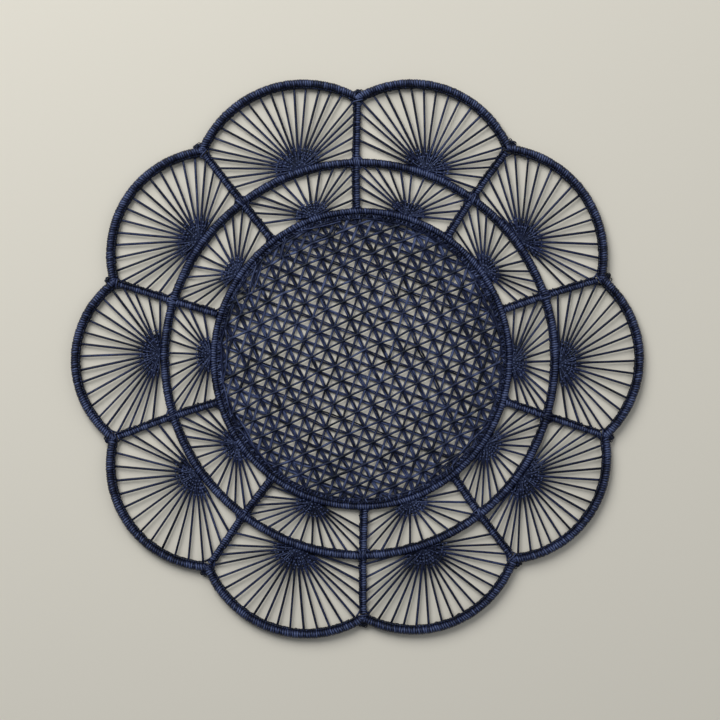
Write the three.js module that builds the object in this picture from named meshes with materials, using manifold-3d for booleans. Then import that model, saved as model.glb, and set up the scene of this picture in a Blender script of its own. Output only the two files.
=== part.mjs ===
// Woven palm placemat: a flat, flower-shaped mat on a wire frame wrapped with palm fibre.
// Ten petals stand around two rings. Every cell between the spokes is filled by a fan of
// threads that spreads from a small woven hub, and the middle is a stretched net.
// Millimetres, +Z up. The mat lies in the XY plane with its underside at z = 0.

import * as THREE from 'three';
import { mergeVertices } from 'three/addons/utils/BufferGeometryUtils.js';
import Module from 'manifold-3d';

// Air left between neighbouring pieces
const clearance = 0.3;

// Wrapped wires, measured across the wrapping
const rimTube = 6.6;
const middleTube = 5.3;
const innerTube = 4.9;
const outerSpokeTube = 4.4;
const innerSpokeTube = 4.8;
const tubeSides = 8;
// How far each petal's tube runs past its ends, as a share of the tube's half width
const mitreLead = 0.62;

// Rings, measured to the middle of the wire
const middleRadius = 130;
const innerRadius = 97.8;
const innerShift = new THREE.Vector2(1.0, -0.1);
const middleSteps = 72;
const innerSteps = 60;
const lobeSteps = 12;

// Fans: every thread runs from the hub to even steps along the frame of its cell
const threadWidth = 1.3;
const threadBottom = 1.95;
const threadTop = 3.1;
const outerThreads = 13;
const innerThreads = 9;
const outerHubRadius = 12;
const innerHubRadius = 8.7;
const hubBottom = 1.6;
const hubShoulder = 3.2;
const hubTop = 3.45;
const hubSides = 20;
// Shares of the hub's radius where its flat top ends, and where the threads begin
const hubCrown = 0.7;
const threadRoot = 0.6;

// Net in the middle: square meshes of straight bands, one set laid over the other
const netPitch = 22;
const netTurn = 24.5;
const netBand = 4.4;
const netEdgeWidth = 5;
const netBottom = 1.5;
const netTop = 3.4;
const netLap = 0.8;

// Knots in the notches of the rim, each of two lumps: outward, sideways and lump radius
const knotLumps = [
  { out: 5.0, side: -1.8, radius: 2.6 },
  { out: 5.6, side: 1.9, radius: 2.3 },
];
const knotHeight = 3.3;
const knotColumns = 6;
const knotRows = 4;

// One row for each petal, going round from the right. Angles are in degrees about the
// middle ring: the spoke that starts the petal at the rim, the middle ring and the inner
// ring, the top of the petal, and the two hubs. valley and crest are radii of the rim.
const petals = [
  { rim: 18.3, mid: 18.8, inn: 19.0, valley: 168.5, top: 37.0, crest: 184.5, hub: 36.1, hubIn: 35.8 },
  { rim: 54.7, mid: 55.0, inn: 54.7, valley: 170.5, top: 72.4, crest: 187.3, hub: 70.8, hubIn: 72.2 },
  { rim: 90.4, mid: 91.0, inn: 91.8, valley: 172.5, top: 109.1, crest: 188.5, hub: 107.8, hubIn: 108.6 },
  { rim: 127.3, mid: 127.1, inn: 127.0, valley: 172.5, top: 144.6, crest: 187.3, hub: 143.5, hubIn: 145.5 },
  { rim: 162.8, mid: 162.8, inn: 162.7, valley: 170.2, top: 180.8, crest: 188.6, hub: 178.4, hubIn: 178.3 },
  { rim: 197.9, mid: 197.1, inn: 196.9, valley: 171.2, top: 216.5, crest: 188.1, hub: 215.1, hubIn: 214.4 },
  { rim: 233.9, mid: 233.3, inn: 233.1, valley: 170.8, top: 253.4, crest: 188.2, hub: 251.6, hubIn: 251.5 },
  { rim: 270.8, mid: 271.0, inn: 271.3, valley: 171.6, top: 288.2, crest: 185.8, hub: 288.7, hubIn: 288.9 },
  { rim: 307.5, mid: 307.5, inn: 308.1, valley: 167.3, top: 325.8, crest: 184.2, hub: 324.2, hubIn: 325.5 },
  { rim: 342.6, mid: 342.9, inn: 343.4, valley: 170.0, top: 360.1, crest: 185.7, hub: 358.7, hubIn: 358.7 },
];

// Colours of the dyed fibre, from the tight wrapping to the paler strands of the net
const looks = {
  wrapping: { color: 0x282c3f, roughness: 0.62 },
  thread: { color: 0x2b3045, roughness: 0.58 },
  net: { color: 0x323850, roughness: 0.55 },
};

const wasm = await Module();
wasm.setup();

// Closed geometry to solid, and back

function toSolid(geometry) {
  const bare = geometry.clone();
  bare.deleteAttribute('normal');
  bare.deleteAttribute('uv');
  const merged = mergeVertices(bare, 1e-5);
  const vertProperties = Float32Array.from(merged.attributes.position.array);
  const triVerts = Uint32Array.from(merged.index.array);
  return new wasm.Manifold(new wasm.Mesh({ numProp: 3, vertProperties, triVerts }));
}

function toGeometry(solid) {
  const mesh = solid.getMesh();
  const geometry = new THREE.BufferGeometry();
  geometry.setAttribute('position', new THREE.BufferAttribute(mesh.vertProperties, 3));
  geometry.setIndex(new THREE.BufferAttribute(mesh.triVerts, 1));
  geometry.computeVertexNormals();
  return geometry;
}

function join(solids) {
  return solids.reduce((whole, piece) => whole.add(piece));
}

// Points in the plane of the mat

function polar(degrees, radius) {
  const angle = THREE.MathUtils.degToRad(degrees);
  return new THREE.Vector2(Math.cos(angle), Math.sin(angle)).multiplyScalar(radius);
}

function polarInner(degrees, radius) {
  return polar(degrees, radius).add(innerShift);
}

// The circle through three points, as its centre, radius, and first and last angle
function circleThrough(first, top, last) {
  const b = top.clone().sub(first);
  const c = last.clone().sub(first);
  const twice = 2 * b.cross(c);
  const ux = (c.y * b.lengthSq() - b.y * c.lengthSq()) / twice;
  const uy = (b.x * c.lengthSq() - c.x * b.lengthSq()) / twice;
  const centre = new THREE.Vector2(ux, uy).add(first);
  const start = first.clone().sub(centre).angle();
  let end = last.clone().sub(centre).angle();
  if (end < start) end += 2 * Math.PI;
  return { centre, radius: first.distanceTo(centre), start, end };
}

function onCircle(circle, angle) {
  const out = new THREE.Vector2(Math.cos(angle), Math.sin(angle));
  return out.multiplyScalar(circle.radius).add(circle.centre);
}

// A flat arc that runs on a little past both ends, so that neighbours meet in a mitre
class LobeCurve extends THREE.Curve {
  constructor(circle, height, lead) {
    super();
    this.circle = circle;
    this.height = height;
    this.from = circle.start - lead / circle.radius;
    this.to = circle.end + lead / circle.radius;
  }

  getPoint(t) {
    const p = onCircle(this.circle, THREE.MathUtils.lerp(this.from, this.to, t));
    return new THREE.Vector3(p.x, p.y, this.height);
  }
}

// Wrapped wires: every section has a flat at the bottom, where it lies on the table

function sectionPoints(size) {
  const reach = size / 2 / Math.cos(Math.PI / tubeSides);
  return Array.from({ length: tubeSides }, (_, i) => {
    const angle = (2 * Math.PI * (i + 0.5)) / tubeSides;
    return new THREE.Vector2(Math.cos(angle), Math.sin(angle)).multiplyScalar(reach);
  });
}

function ringTube(radius, tube, steps, extra = 0) {
  const raise = new THREE.Vector2(radius, tube / 2);
  const profile = sectionPoints(tube + 2 * extra).map((p) => p.add(raise));
  profile.push(profile[0].clone());
  const geometry = new THREE.LatheGeometry(profile, steps);
  geometry.rotateX(Math.PI / 2);
  return geometry;
}

function straightTube(from, to, tube, extra = 0) {
  const along = to.clone().sub(from);
  const shape = new THREE.Shape(sectionPoints(tube + 2 * extra));
  const geometry = new THREE.ExtrudeGeometry(shape, {
    depth: along.length(),
    steps: 1,
    bevelEnabled: false,
  });
  const ahead = new THREE.Vector3(along.x, along.y, 0).normalize();
  const up = new THREE.Vector3(0, 0, 1);
  const side = new THREE.Vector3().crossVectors(up, ahead);
  geometry.applyMatrix4(new THREE.Matrix4().makeBasis(side, up, ahead));
  geometry.translate(from.x, from.y, tube / 2);
  return geometry;
}

function lobeTube(circle, extra = 0) {
  const lead = mitreLead * (rimTube / 2);
  return new THREE.ExtrudeGeometry(new THREE.Shape(sectionPoints(rimTube + 2 * extra)), {
    extrudePath: new LobeCurve(circle, rimTube / 2, lead),
    steps: lobeSteps,
    bevelEnabled: false,
  });
}

// Layout of the frame

const count = petals.length;
const valleys = petals.map((row) => polar(row.rim, row.valley));
const lobes = petals.map((row, k) =>
  circleThrough(valleys[k], polar(row.top, row.crest), valleys[(k + 1) % count]));
const middleCrossings = petals.map((row) => polar(row.mid, middleRadius));
const innerCrossings = petals.map((row) => polarInner(row.inn, innerRadius));

function middleRing(extra) {
  return toSolid(ringTube(middleRadius, middleTube, middleSteps, extra));
}

function innerRing(extra) {
  const geometry = ringTube(innerRadius, innerTube, innerSteps, extra);
  return toSolid(geometry.translate(innerShift.x, innerShift.y, 0));
}

function rim(extra) {
  return join(lobes.map((circle) => toSolid(lobeTube(circle, extra))));
}

function outerSpoke(k, extra) {
  return toSolid(straightTube(middleCrossings[k], valleys[k], outerSpokeTube, extra));
}

function innerSpoke(k, extra) {
  return toSolid(straightTube(innerCrossings[k], middleCrossings[k], innerSpokeTube, extra));
}

// The same wires grown by the clearance: whatever meets a wire is cut back to these
const rimSpace = rim(clearance);
const middleSpace = middleRing(clearance);
const innerSpace = innerRing(clearance);

// Knots: lumps in the notch between two petals

function knot(k) {
  const out = valleys[k].clone().normalize();
  const side = new THREE.Vector2(-out.y, out.x);
  const lumps = knotLumps.map((lump) => {
    const geometry = new THREE.SphereGeometry(lump.radius, knotColumns, knotRows);
    geometry.rotateX(Math.PI / 2);
    const centre = valleys[k].clone();
    centre.addScaledVector(out, lump.out).addScaledVector(side, lump.side);
    return toSolid(geometry.translate(centre.x, centre.y, knotHeight));
  });
  return join(lumps).subtract(rimSpace);
}

// Fans

// Even steps along an open line of points, without its two ends
function evenSteps(points, steps) {
  const path = new THREE.CurvePath();
  points.slice(1).forEach((p, i) => path.add(new THREE.LineCurve(points[i], p)));
  return path.getSpacedPoints(steps + 1).slice(1, -1);
}

// The plan of a cell as a block, bounded by the middles of the wires around it
function cellBlock(outline) {
  return toSolid(new THREE.ExtrudeGeometry(new THREE.Shape(outline), {
    depth: rimTube,
    steps: 1,
    bevelEnabled: false,
  }));
}

// A low round boss; the ring beside it cuts it to a half disc
function hubBoss(focus, radius) {
  const profile = [
    new THREE.Vector2(0, hubBottom),
    new THREE.Vector2(radius, hubBottom),
    new THREE.Vector2(radius, hubShoulder),
    new THREE.Vector2(hubCrown * radius, hubTop),
    new THREE.Vector2(0, hubTop),
  ];
  const geometry = new THREE.LatheGeometry(profile, hubSides);
  geometry.rotateX(Math.PI / 2);
  return toSolid(geometry.translate(focus.x, focus.y, 0));
}

function thread(focus, hubRadius, target) {
  const along = target.clone().sub(focus);
  const from = threadRoot * hubRadius;
  const length = along.length() - from;
  const height = threadTop - threadBottom;
  const geometry = new THREE.BoxGeometry(length, threadWidth, height);
  geometry.translate(from + length / 2, 0, threadBottom + height / 2);
  geometry.rotateZ(along.angle());
  return toSolid(geometry.translate(focus.x, focus.y, 0));
}

function fan(focus, hubRadius, threads, frame, outline, spaces) {
  const strands = evenSteps(frame, threads).map((target) => thread(focus, hubRadius, target));
  const whole = join([hubBoss(focus, hubRadius), ...strands]).intersect(cellBlock(outline));
  return spaces.reduce((left, space) => left.subtract(space), whole);
}

function arcPoints(circle) {
  const span = circle.end - circle.start;
  return Array.from({ length: lobeSteps + 1 }, (_, i) =>
    onCircle(circle, circle.start + (span * i) / lobeSteps));
}

// Points along a ring from one spoke to the next, both ends included
function ringPoints(place, from, to, radius) {
  const span = (to - from + 360) % 360;
  return Array.from({ length: lobeSteps + 1 }, (_, i) =>
    place(from + (span * i) / lobeSteps, radius));
}

function outerFan(k) {
  const next = (k + 1) % count;
  const focus = polar(petals[k].hub, middleRadius + middleTube / 2);
  const ring = ringPoints(polar, petals[k].mid, petals[next].mid, middleRadius);
  const arc = arcPoints(lobes[k]);
  const edge = middleRadius + middleTube / 2;
  const frame = [polar(petals[k].mid, edge), ...arc, polar(petals[next].mid, edge)];
  const spaces = [rimSpace, middleSpace, outerSpoke(k, clearance), outerSpoke(next, clearance)];
  return fan(focus, outerHubRadius, outerThreads, frame, [...arc, ...ring.reverse()], spaces);
}

function innerFan(k) {
  const next = (k + 1) % count;
  const edge = innerRadius + innerTube / 2;
  const focus = polarInner(petals[k].hubIn, edge);
  const outside = ringPoints(polar, petals[k].mid, petals[next].mid, middleRadius);
  const inside = ringPoints(polarInner, petals[k].inn, petals[next].inn, innerRadius);
  const feet = [polarInner(petals[k].inn, edge), polarInner(petals[next].inn, edge)];
  const frame = [feet[0], ...outside, feet[1]];
  const spaces = [middleSpace, innerSpace, innerSpoke(k, clearance), innerSpoke(next, clearance)];
  return fan(focus, innerHubRadius, innerThreads, frame, [...outside, ...inside.reverse()], spaces);
}

// Net: two sets of parallel bands, joined by a flat edge that follows the inner ring

function netEdge() {
  const outer = innerRadius - innerTube / 2 - clearance;
  const inner = outer - netEdgeWidth;
  const profile = [
    new THREE.Vector2(outer, netBottom),
    new THREE.Vector2(outer, netTop),
    new THREE.Vector2(inner, netTop),
    new THREE.Vector2(inner, netBottom),
    new THREE.Vector2(outer, netBottom),
  ];
  const geometry = new THREE.LatheGeometry(profile, innerSteps);
  geometry.rotateX(Math.PI / 2);
  return toSolid(geometry);
}

function netBands(turn, bottom, top) {
  const reach = innerRadius - innerTube / 2 - clearance - netEdgeWidth / 2;
  const side = Math.floor(reach / netPitch);
  const bands = [];
  for (let i = -side; i <= side; i += 1) {
    const offset = i * netPitch;
    const length = 2 * Math.sqrt(reach * reach - offset * offset);
    const geometry = new THREE.BoxGeometry(length, netBand, top - bottom);
    geometry.translate(0, offset, (top + bottom) / 2);
    geometry.rotateZ(THREE.MathUtils.degToRad(turn));
    bands.push(toSolid(geometry));
  }
  return bands;
}

function net() {
  const halfway = (netBottom + netTop) / 2;
  const lower = netBands(netTurn, netBottom, halfway + netLap / 2);
  const upper = netBands(netTurn + 90, halfway - netLap / 2, netTop);
  const whole = join([netEdge(), ...lower, ...upper]);
  return whole.translate([innerShift.x, innerShift.y, 0]);
}

// The finished mat

const placemat = new THREE.Group();

function addPiece(name, look, solid) {
  const mesh = new THREE.Mesh(toGeometry(solid), new THREE.MeshStandardMaterial({
    color: look.color,
    roughness: look.roughness,
    metalness: 0,
  }));
  mesh.name = name;
  placemat.add(mesh);
}

function numbered(name, k) {
  return `${name}_${String(k + 1).padStart(2, '0')}`;
}

addPiece('rim', looks.wrapping, rim(0));
addPiece('middle_ring', looks.wrapping, middleRing(0));
addPiece('inner_ring', looks.wrapping, innerRing(0));
petals.forEach((_, k) => {
  const outer = outerSpoke(k, 0).subtract(rimSpace).subtract(middleSpace);
  const inner = innerSpoke(k, 0).subtract(middleSpace).subtract(innerSpace);
  addPiece(numbered('outer_spoke', k), looks.wrapping, outer);
  addPiece(numbered('inner_spoke', k), looks.wrapping, inner);
  addPiece(numbered('knot', k), looks.wrapping, knot(k));
  addPiece(numbered('outer_fan', k), looks.thread, outerFan(k));
  addPiece(numbered('inner_fan', k), looks.thread, innerFan(k));
});
addPiece('centre_net', looks.net, net());

// The origin is under the middle of the mat's box
const box = new THREE.Box3().setFromObject(placemat);
const middle = box.getCenter(new THREE.Vector3());
placemat.position.set(-middle.x, -middle.y, 0);
placemat.updateMatrixWorld(true);

export default placemat;
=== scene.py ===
import math
from collections import namedtuple

import bpy
import numpy as np
from bpy.props import FloatProperty, FloatVectorProperty, PointerProperty
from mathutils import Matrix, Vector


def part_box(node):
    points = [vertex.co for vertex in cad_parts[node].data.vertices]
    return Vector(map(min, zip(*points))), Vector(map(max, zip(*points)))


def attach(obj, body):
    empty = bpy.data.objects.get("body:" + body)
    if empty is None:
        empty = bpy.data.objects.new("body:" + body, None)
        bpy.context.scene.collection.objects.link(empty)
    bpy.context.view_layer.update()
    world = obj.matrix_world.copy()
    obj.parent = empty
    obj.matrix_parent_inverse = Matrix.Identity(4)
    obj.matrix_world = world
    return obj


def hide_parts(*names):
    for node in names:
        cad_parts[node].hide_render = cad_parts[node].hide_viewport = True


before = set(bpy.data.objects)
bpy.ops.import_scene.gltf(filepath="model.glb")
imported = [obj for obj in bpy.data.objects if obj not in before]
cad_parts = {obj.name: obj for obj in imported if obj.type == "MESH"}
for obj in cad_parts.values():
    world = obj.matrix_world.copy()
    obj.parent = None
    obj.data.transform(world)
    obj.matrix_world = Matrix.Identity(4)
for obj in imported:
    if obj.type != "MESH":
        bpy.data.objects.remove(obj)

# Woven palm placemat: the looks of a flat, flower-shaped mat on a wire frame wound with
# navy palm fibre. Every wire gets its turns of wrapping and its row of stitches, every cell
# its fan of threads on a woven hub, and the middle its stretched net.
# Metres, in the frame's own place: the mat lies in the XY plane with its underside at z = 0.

bl_info = {
    "name": "Woven palm placemat",
    "version": (1, 0, 0),
    "blender": (4, 5, 0),
    "location": "3D View > Sidebar > Placemat",
    "description": "Winds, weaves and nets a round palm-fibre placemat on its wire frame",
    "category": "Object",
}

MM = 0.001
UP = np.array([0.0, 0.0, 1.0])
FULL_TURN = 2 * math.pi

# Height of the points across one turn of wrapping, from its groove over its crest
RIDGE = np.array([0.0, 0.66, 1.0, 1.0, 0.66])
ROWS = len(RIDGE)
# The wrapping's turns lie slightly askew: shift along the wire for each unit across it
ASKEW = 0.26
# How far each petal's tube runs past its ends, as a share of the tube's half width
MITRE_LEAD = 0.62
# Points round a strand
STRAND_SIDES = 6

# One row for each petal, going round from the right. Angles are in degrees about the middle
# ring: the spoke that starts the petal at the rim, the middle ring and the inner ring, the
# top of the petal, and the two hubs. valley and crest are radii of the rim in millimetres.
# purl is the side of the petal's first spoke that carries its stitches: 1 is
# counter-clockwise. Then come the threads of the outer and the inner fan, and how far they
# are moved along the frame, in steps from one thread to the next.
Petal = namedtuple(
    "Petal", "rim mid inn valley top crest hub hub_in purl threads nudge threads_in nudge_in")
PETALS = [
    Petal(18.3, 18.8, 19.0, 168.5, 37.0, 184.4, 36.1, 35.8, 1, 20, 0.4, 15, 0.3),
    Petal(54.7, 55.0, 54.7, 170.5, 72.4, 187.3, 70.8, 72.2, 1, 21, -0.5, 15, 0.3),
    Petal(90.4, 91.0, 91.8, 172.5, 109.1, 188.3, 107.8, 108.6, 1, 23, -0.1, 14, -0.3),
    Petal(127.3, 127.1, 127.0, 172.5, 144.6, 187.3, 143.5, 145.5, -1, 21, 0.0, 14, 0.0),
    Petal(162.8, 162.8, 162.7, 170.2, 180.8, 188.6, 178.4, 178.3, -1, 21, -0.3, 14, 0.1),
    Petal(197.9, 197.1, 196.9, 171.2, 216.5, 188.1, 215.1, 214.4, -1, 19, -0.2, 15, -0.1),
    Petal(233.9, 233.3, 233.1, 170.8, 253.4, 187.8, 251.6, 251.5, 1, 21, 0.2, 16, -0.5),
    Petal(270.8, 271.0, 271.3, 171.6, 288.2, 185.4, 288.7, 288.9, -1, 21, -0.5, 13, 0.0),
    Petal(307.5, 307.5, 308.1, 167.3, 325.8, 183.9, 324.2, 325.5, 1, 22, -0.3, 16, -0.2),
    Petal(342.6, 342.9, 343.4, 170.0, 360.1, 185.5, 358.7, 358.7, 1, 20, 0.3, 16, 0.1),
]

# How far the hand-made rings stray from true circles, in millimetres, at even steps
# from the right
MIDDLE_SWAY = [-0.55, -0.5, 0.0, -0.55, -0.6, -0.6, 0.35, 0.35]
INNER_SWAY = [0.2, 0.1, -0.2, -0.6, -0.2, 0.1, 0.0, 0.0]

# Hubs, measured from the edge of the ring that they stand on
OUTER_HUB = 12.0 * MM
INNER_HUB = 8.7 * MM
THREAD_LEVEL = 2.5 * MM
# How much wider a hub is along its ring than a half round, and how far it stands in the ring
HUB_SPREAD = 1.15
HUB_SINK = 0.4 * MM

# Each kind of piece has its own random draws, from these seeds on
SEEDS = {
    "rim": 11, "middle_ring": 12, "inner_ring": 13, "outer_spoke": 100, "inner_spoke": 200,
    "knot": 300, "outer_fan": 400, "inner_fan": 500, "net": 600, "net_edge": 700,
}


# Places in the plane of the mat, worked out from the frame


def box_of(node):
    low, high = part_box(node)
    return np.array(low), np.array(high)


def middle_of(node):
    low, high = box_of(node)
    return (low + high)[:2] / 2


def tube_of(node):
    low, high = box_of(node)
    return high[2] - low[2]


def ring_radius(node):
    low, high = box_of(node)
    return (high[0] - low[0] - tube_of(node)) / 2


MIDDLE = middle_of("middle_ring")
INNER = middle_of("inner_ring")
MIDDLE_RADIUS = ring_radius("middle_ring")
INNER_RADIUS = ring_radius("inner_ring")
RIM_TUBE = tube_of("rim")
MIDDLE_TUBE = tube_of("middle_ring")
INNER_TUBE = tube_of("inner_ring")


def direction(degrees):
    angle = math.radians(degrees)
    return np.array([math.cos(angle), math.sin(angle)])


def polar(degrees, radius):
    return MIDDLE + radius * direction(degrees)


def polar_inner(degrees, radius):
    return INNER + radius * direction(degrees)


def cross2(a, b):
    return a[0] * b[1] - a[1] * b[0]


def left_of(heading):
    """The way to the left of a heading, or of each of them."""
    return np.stack([-heading[..., 1], heading[..., 0]], axis=-1)


def right_of(ahead):
    """The side to the right of a heading: outward on a ring that is run counter-clockwise."""
    return -left_of(ahead)


def headings(angle):
    """The ways at these angles, counter-clockwise from the right."""
    return np.stack([np.cos(angle), np.sin(angle)], axis=-1)


def draws(kind, k=0):
    return np.random.default_rng(SEEDS[kind] + k)


def numbered(name, k):
    return f"{name}_{k + 1:02d}"


def following(k):
    return (k + 1) % len(PETALS)


def joined(values, places):
    """Values at whole numbers, joined up smoothly in between and closed on themselves."""
    values = np.asarray(values)
    before = np.floor(places).astype(int)
    share = places - before
    ease = share * share * (3 - 2 * share)
    count = len(values)
    return values[before % count] * (1 - ease) + values[(before + 1) % count] * ease


class Arc:
    """Part of a circle in the plane of the mat, run counter-clockwise. sway is how far its
    line strays outward, at even steps of a full turn."""

    def __init__(self, centre, radius, start, end, sway=(0.0,)):
        self.centre = np.array(centre)
        self.radius = radius
        self.start = start
        self.end = end
        self.sway = sway
        self.length = radius * (end - start)
        self.closed = end - start >= FULL_TURN

    def at(self, distance):
        """Points and headings at these distances from the arc's start."""
        angle = self.start + distance / self.radius
        out = headings(angle)
        reach = self.radius + joined(self.sway, angle / FULL_TURN * len(self.sway)) * MM
        return self.centre + reach[..., None] * out, left_of(out)

    def points(self, steps):
        return self.at(np.linspace(0, self.length, steps + 1))[0]

    def stretched(self, lead):
        """The same arc, run this far past both ends."""
        turn = lead / self.radius
        return Arc(self.centre, self.radius, self.start - turn, self.end + turn)


def arc_through(first, top, last):
    b = top - first
    c = last - first
    twice = 2 * cross2(b, c)
    ux = (c[1] * (b @ b) - b[1] * (c @ c)) / twice
    uy = (b[0] * (c @ c) - c[0] * (b @ b)) / twice
    centre = np.array([ux, uy]) + first
    start = math.atan2(*(first - centre)[::-1])
    end = math.atan2(*(last - centre)[::-1])
    if end < start:
        end += FULL_TURN
    return Arc(centre, np.linalg.norm(first - centre), start, end)


class Straight:
    """A straight line in the plane of the mat."""

    closed = False

    def __init__(self, start, end):
        self.start = np.array(start)
        self.length = np.linalg.norm(end - start)
        self.ahead = (end - start) / self.length

    def at(self, distance):
        distance = np.asarray(distance)[..., None]
        ahead = np.broadcast_to(self.ahead, distance.shape[:-1] + (2,))
        return self.start + distance * self.ahead, ahead


VALLEYS = [polar(row.rim, row.valley * MM) for row in PETALS]
LOBES = [
    arc_through(VALLEYS[k], polar(row.top, row.crest * MM), VALLEYS[following(k)])
    for k, row in enumerate(PETALS)
]
MIDDLE_CROSSINGS = [polar(row.mid, MIDDLE_RADIUS) for row in PETALS]
INNER_CROSSINGS = [polar_inner(row.inn, INNER_RADIUS) for row in PETALS]


# Meshes: strands, beads and turns of wrapping gathered into one piece


class Work:
    """What one piece is made of, with each point's place on its own fibre.

    fibre is the distance along the fibre, across it and through it, and strand is the
    fibre's tone, how far the point stands up from what lies round it, which the shader turns
    into painted highlight on tops and painted shade in grooves, and its wear and painted sheen."""

    def __init__(self):
        self.points = []
        self.fibre = []
        self.strand = []
        self.faces = []
        self.count = 0

    def add(self, points, fibre, strand, faces):
        self.points.append(points.reshape(-1, 3))
        self.fibre.append(fibre.reshape(-1, 3))
        self.strand.append(strand.reshape(-1, 3))
        self.faces.extend(face.reshape(-1, face.shape[-1]) + self.count for face in faces)
        self.count += len(self.points[-1])

    def finish(self, name):
        mesh = bpy.data.meshes.new(name)
        sizes = np.concatenate([np.full(len(face), face.shape[1]) for face in self.faces])
        corners = np.concatenate([face.ravel() for face in self.faces])
        mesh.vertices.add(self.count)
        mesh.vertices.foreach_set("co", np.concatenate(self.points).ravel())
        mesh.loops.add(len(corners))
        mesh.loops.foreach_set("vertex_index", corners.astype(np.int32))
        mesh.polygons.add(len(sizes))
        mesh.polygons.foreach_set("loop_start", (np.cumsum(sizes) - sizes).astype(np.int32))
        mesh.polygons.foreach_set("loop_total", sizes.astype(np.int32))
        mesh.polygons.foreach_set("use_smooth", np.ones(len(sizes), bool))
        for label, rows in (("fibre", self.fibre), ("strand", self.strand)):
            layer = mesh.attributes.new(label, "FLOAT_VECTOR", "POINT")
            layer.data.foreach_set("vector", np.concatenate(rows).ravel())
        mesh.update(calc_edges=True)
        mesh.validate()
        piece = bpy.data.objects.new(name, mesh)
        bpy.context.scene.collection.objects.link(piece)
        return piece


def unit(vectors):
    return vectors / np.maximum(np.linalg.norm(vectors, axis=-1, keepdims=True), 1e-12)


def raised(xy, level):
    """Points in the plane, lifted to a level, or each to its own."""
    level = np.broadcast_to(level, xy.shape[:-1])
    return np.concatenate([xy, level[..., None]], axis=-1)


def strand(work, points, width, height, tone, up=UP, closed=False, wear=0.0):
    """A single fibre or strip of flat-oval section along points. width, height, tone and
    wear are numbers, or one number for each point. Its top is painted lighter and its
    underside darker: painted highlight and painted shade."""
    sides = STRAND_SIDES
    count = len(points)
    if closed:
        ahead = unit(np.roll(points, -1, axis=0) - np.roll(points, 1, axis=0))
    else:
        ahead = unit(np.gradient(points, axis=0))
    side = unit(np.cross(np.broadcast_to(up, ahead.shape), ahead))
    top = np.cross(ahead, side)
    width, height, tone, wear = (
        np.broadcast_to(value, count)[:, None] for value in (width, height, tone, wear))
    turn = FULL_TURN * np.arange(sides) / sides
    across = width / 2 * np.cos(turn)
    through = height / 2 * np.sin(turn)
    rings = points[:, None] + across[..., None] * side[:, None] + through[..., None] * top[:, None]
    steps = np.linalg.norm(np.diff(points, axis=0), axis=-1)
    along = np.concatenate([[0], np.cumsum(steps)])[:, None]
    shape = across.shape
    fibre = np.stack([np.broadcast_to(along, shape), across, through + tone[0]], axis=-1)
    # The second value is painted highlight on the strand's top and painted shade on its underside
    look = np.stack([
        np.broadcast_to(tone, shape), np.broadcast_to(0.5 + 0.5 * np.sin(turn), shape),
        np.broadcast_to(wear, shape)], axis=-1)
    i = np.arange(count if closed else count - 1)[:, None]
    j = np.arange(sides)[None]
    after = (i + 1) % count
    beside = (j + 1) % sides
    faces = [np.stack([
        i * sides + j, i * sides + beside, after * sides + beside, after * sides + j], axis=-1)]
    if not closed:
        tips = points[[0, -1]] + ahead[[0, -1]] * height[[0, -1]] * [[-0.3], [0.3]]
        rings = np.concatenate([rings.reshape(-1, 3), tips])
        fibre = np.concatenate([fibre.reshape(-1, 3), fibre[[0, -1], 0]])
        look = np.concatenate([look.reshape(-1, 3), look[[0, -1], 0]])
        edge = np.arange(sides)
        wrap = (edge + 1) % sides
        last = (count - 1) * sides
        first_tip = np.full(sides, count * sides)
        faces.append(np.stack([wrap, edge, first_tip], axis=-1))
        faces.append(np.stack([last + edge, last + wrap, first_tip + 1], axis=-1))
    work.add(rings, fibre, look, faces)


def bead_template():
    """A ball of radius 1: points, with a pole at each end of its first axis, and faces."""
    columns, rows = 6, 2
    tilt = np.pi * np.arange(1, rows + 1) / (rows + 1)
    turn = FULL_TURN * np.arange(columns) / columns
    ball = np.stack([
        np.broadcast_to(np.cos(tilt)[:, None], (rows, columns)),
        np.sin(tilt)[:, None] * np.cos(turn),
        np.sin(tilt)[:, None] * np.sin(turn)], axis=-1).reshape(-1, 3)
    points = np.concatenate([ball, [[1, 0, 0], [-1, 0, 0]]])
    i = np.arange(rows - 1)[:, None]
    j = np.arange(columns)[None]
    beside = (j + 1) % columns
    quads = np.stack([
        i * columns + j, (i + 1) * columns + j, (i + 1) * columns + beside,
        i * columns + beside], axis=-1).reshape(-1, 4)
    edge = np.arange(columns)
    wrap = (edge + 1) % columns
    last = (rows - 1) * columns
    pole = np.full(columns, rows * columns)
    caps = np.concatenate([
        np.stack([pole, edge, wrap], axis=-1),
        np.stack([pole + 1, last + wrap, last + edge], axis=-1)])
    return points, quads, caps


BEAD = bead_template()


def beads(work, centres, long_axis, side_axis, sizes, tones):
    """Small oblong stitches: one at each centre, with its half sizes along its two axes and
    along the one across both."""
    ball, quads, caps = BEAD
    third = np.cross(long_axis, side_axis)
    local = ball[None] * sizes[:, None]
    points = centres[:, None]
    for part, axis in enumerate((long_axis, side_axis, third)):
        points = points + local[..., part, None] * axis[:, None]
    fibre = local + np.stack([0 * tones, 0 * tones, tones], axis=-1)[:, None]
    # Painted highlight on the top of each stitch and painted shade under it, by how high each
    # point stands
    rise = (points[..., 2] - centres[:, None, 2]) / sizes.max()
    look = np.stack([
        np.broadcast_to(tones[:, None], rise.shape), np.clip(0.5 + 0.5 * rise, 0, 1),
        np.zeros_like(rise)], axis=-1)
    start = (np.arange(len(centres)) * len(ball))[:, None, None]
    work.add(points, fibre, look, [quads[None] + start, caps[None] + start])


# A winding round a line: where its middle lies beside and above the line, half its width and
# height, the width of one turn, how deep the grooves are, how uneven the turns, the darkest
# and the lightest tone of a turn, and the number of points round it
Winding = namedtuple("Winding", "shift level width height pitch groove uneven dark light sides")


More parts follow.
